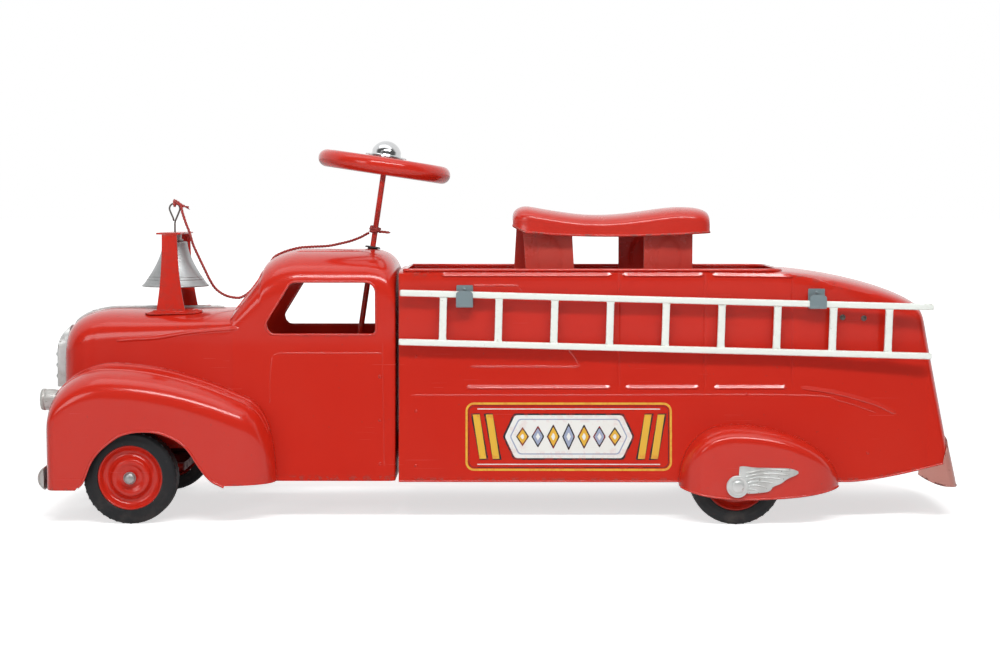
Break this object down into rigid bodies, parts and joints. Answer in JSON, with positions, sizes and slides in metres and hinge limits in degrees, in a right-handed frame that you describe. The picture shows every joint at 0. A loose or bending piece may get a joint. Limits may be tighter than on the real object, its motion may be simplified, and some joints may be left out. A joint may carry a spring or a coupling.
{
  "type": "ride-on toy fire truck",
  "caption": "Pressed-steel ride-on toy fire truck with a steering wheel on a leaning column, saddle seat, bell with rope, and lift-off ladders",
  "frame": {"origin": "on the floor under the middle of the truck's box", "axes": "front at -X, top at +Z, driver's left at -Y"},
  "size_m": [1.026, 0.2946, 0.4202],
  "materials": {
    "body_red": "gloss enamel, worn",
    "under_red": "gloss enamel in shade, worn",
    "bell_silver": "spun and polished",
    "cast_silver": "cast, dull",
    "bright_steel": "plated, worn",
    "plain_steel": "plain",
    "clip_steel": "grey paint",
    "ladder_white": "white enamel, chipped",
    "tyre_black": "matt rubber",
    "bush_rubber": "matt",
    "rope_red": "twisted cord",
    "wire_dark": "dark wire"
  },
  "bodies": {
    "root": {"chassis_channel": "under_red", "cross_members": "under_red", "rear_axle_hangers": "under_red", "cab_shell": "body_red", "front_apron": "body_red", "grille": "cast_silver", "hood_trim": "bright_steel", "front_fender_left": "body_red", "front_fender_right": "body_red", "headlights": "bright_steel", "front_bumper": "bright_steel", "bumper_brackets": "bright_steel", "hose_body": "body_red", "bed_floor": "body_red", "rear_fender_left": "body_red", "rear_fender_right": "body_red", "wing_badges": "cast_silver", "tail_step": "body_red", "seat_saddle": "body_red", "seat_front_support": "body_red", "seat_rear_support": "body_red", "seat_bolts": "plain_steel", "ladder_clips": "clip_steel", "bell_bracket": "body_red", "bell": "bell_silver", "bell_stud": "plain_steel", "bell_rope": "rope_red", "rope_knot_column": "rope_red", "roof_bush": "bush_rubber", "column_bearing": "plain_steel", "king_bolt": "plain_steel", "king_spacer": "plain_steel", "rear_axle": "plain_steel", "rear_axle_spacers": "plain_steel", "rear_axle_caps": "bright_steel"},
    "steering": {"steering_wheel": "body_red", "wheel_dome": "bright_steel", "steering_column": "body_red", "column_collar": "plain_steel", "steering_arm": "plain_steel"},
    "link": {"drag_link": "plain_steel", "link_retainers": "plain_steel"},
    "carrier": {"front_axle_carrier": "under_red", "front_axle": "plain_steel", "front_axle_spacers": "plain_steel", "front_axle_caps": "bright_steel"},
    "wheel_fl": {"tyre_front_left": "tyre_black", "disc_front_left": "body_red"},
    "wheel_fr": {"tyre_front_right": "tyre_black", "disc_front_right": "body_red"},
    "wheel_rl": {"tyre_rear_left": "tyre_black", "disc_rear_left": "body_red"},
    "wheel_rr": {"tyre_rear_right": "tyre_black", "disc_rear_right": "body_red"},
    "striker": {"striker_wire": "wire_dark", "striker_ball": "plain_steel", "rope_knot_bell": "rope_red"},
    "ladder_l": {"ladder_left": "ladder_white"},
    "ladder_r": {"ladder_right": "ladder_white"}
  },
  "joints": [
    {"name": "steering_turn", "type": "hinge", "parent": "root", "child": "steering", "pos_m": [-0.18254, 0, 0.062], "axis": [0.1495, 0, 0.9888], "range_deg": [-24, 24]},
    {"name": "link_swing", "type": "hinge", "parent": "steering", "child": "link", "pos_m": [-0.18254, 0.02, 0.062], "axis": [0.1495, 0, 0.9888], "range_deg": [-24, 24]},
    {"name": "carrier_turn", "type": "hinge", "parent": "root", "child": "carrier", "pos_m": [-0.403, 0, 0.0612], "axis": [0, 0, 1], "range_deg": [-10, 10]},
    {"name": "spin_fl", "type": "hinge", "parent": "carrier", "child": "wheel_fl", "pos_m": [-0.403, -0.12, 0.0508], "axis": [0, 1, 0], "continuous": true},
    {"name": "spin_fr", "type": "hinge", "parent": "carrier", "child": "wheel_fr", "pos_m": [-0.403, 0.12, 0.0508], "axis": [0, 1, 0], "continuous": true},
    {"name": "spin_rl", "type": "hinge", "parent": "root", "child": "wheel_rl", "pos_m": [0.257, -0.12, 0.0508], "axis": [0, 1, 0], "continuous": true},
    {"name": "spin_rr", "type": "hinge", "parent": "root", "child": "wheel_rr", "pos_m": [0.257, 0.12, 0.0508], "axis": [0, 1, 0], "continuous": true},
    {"name": "striker_rock", "type": "hinge", "parent": "root", "child": "striker", "pos_m": [-0.374, 0, 0.315], "axis": [0, 1, 0], "range_deg": [-20, 20], "deforming": ["bell_rope"]},
    {"name": "lift_l", "type": "slide", "parent": "root", "child": "ladder_l", "axis": [0, 0, 1], "range_m": [0, 0.03]},
    {"name": "lift_r", "type": "slide", "parent": "root", "child": "ladder_r", "axis": [0, 0, 1], "range_m": [0, 0.03]}
  ],
  "couplings": [
    {"joint": "carrier_turn", "follows": "steering_turn", "ratio": 0.41667},
    {"joint": "link_swing", "follows": "steering_turn", "ratio": -1}
  ]
}
